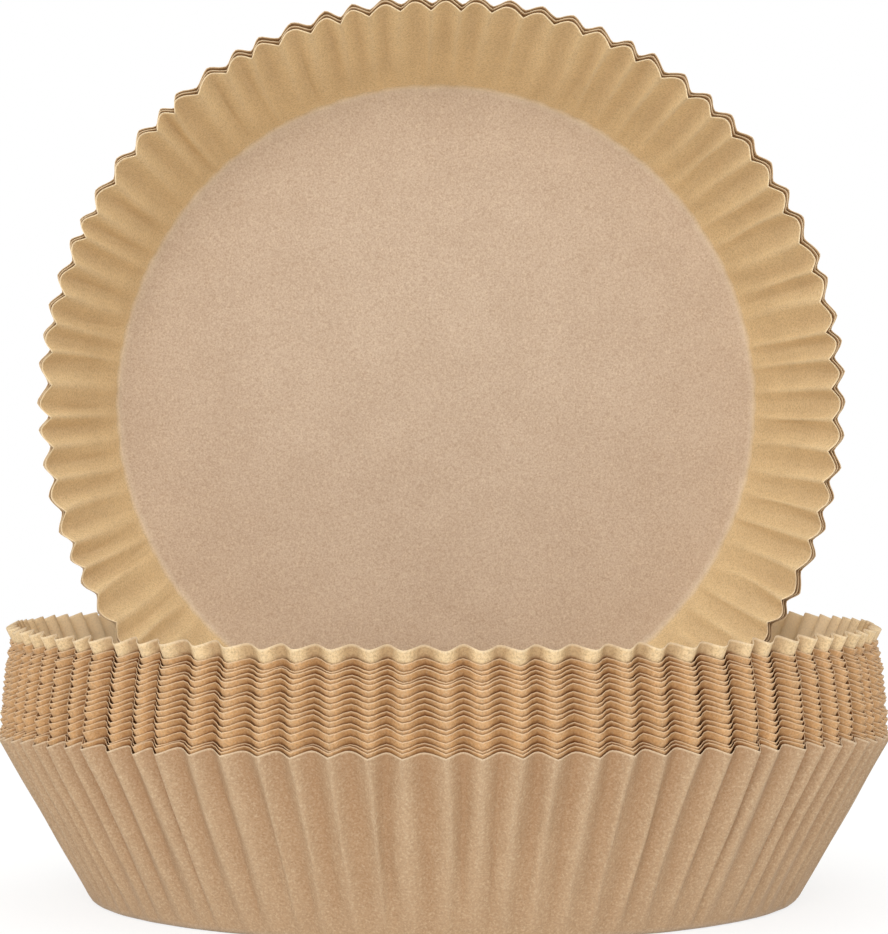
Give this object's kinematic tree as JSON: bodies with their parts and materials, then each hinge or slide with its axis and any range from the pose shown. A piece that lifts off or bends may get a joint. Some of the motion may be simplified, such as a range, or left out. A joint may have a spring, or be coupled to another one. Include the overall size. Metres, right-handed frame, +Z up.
{
  "type": "stack of air fryer paper liners",
  "caption": "Nest of round pleated paper liners, with a smaller nest of them standing on edge in the top one",
  "frame": {"origin": "centre of the lowest liner's flat base, on the surface that the stack stands on", "axes": "+Z is up, +Y is the back, and the standing liners open towards -Y"},
  "size_m": [0.2, 0.2, 0.2051],
  "materials": {
    "greaseproof_paper": "matte, unbleached kraft brown"
  },
  "bodies": {
    "root": {"nested_liner_01": "greaseproof_paper", "nested_liner_02": "greaseproof_paper", "nested_liner_03": "greaseproof_paper", "nested_liner_04": "greaseproof_paper", "nested_liner_05": "greaseproof_paper", "nested_liner_06": "greaseproof_paper", "nested_liner_07": "greaseproof_paper", "nested_liner_08": "greaseproof_paper", "nested_liner_09": "greaseproof_paper", "nested_liner_10": "greaseproof_paper", "nested_liner_11": "greaseproof_paper", "nested_liner_12": "greaseproof_paper", "nested_liner_13": "greaseproof_paper", "nested_liner_14": "greaseproof_paper", "nested_liner_15": "greaseproof_paper", "nested_liner_16": "greaseproof_paper", "nested_liner_17": "greaseproof_paper", "nested_liner_18": "greaseproof_paper", "standing_liner_1": "greaseproof_paper", "standing_liner_2": "greaseproof_paper", "standing_liner_3": "greaseproof_paper"}
  },
  "joints": []
}
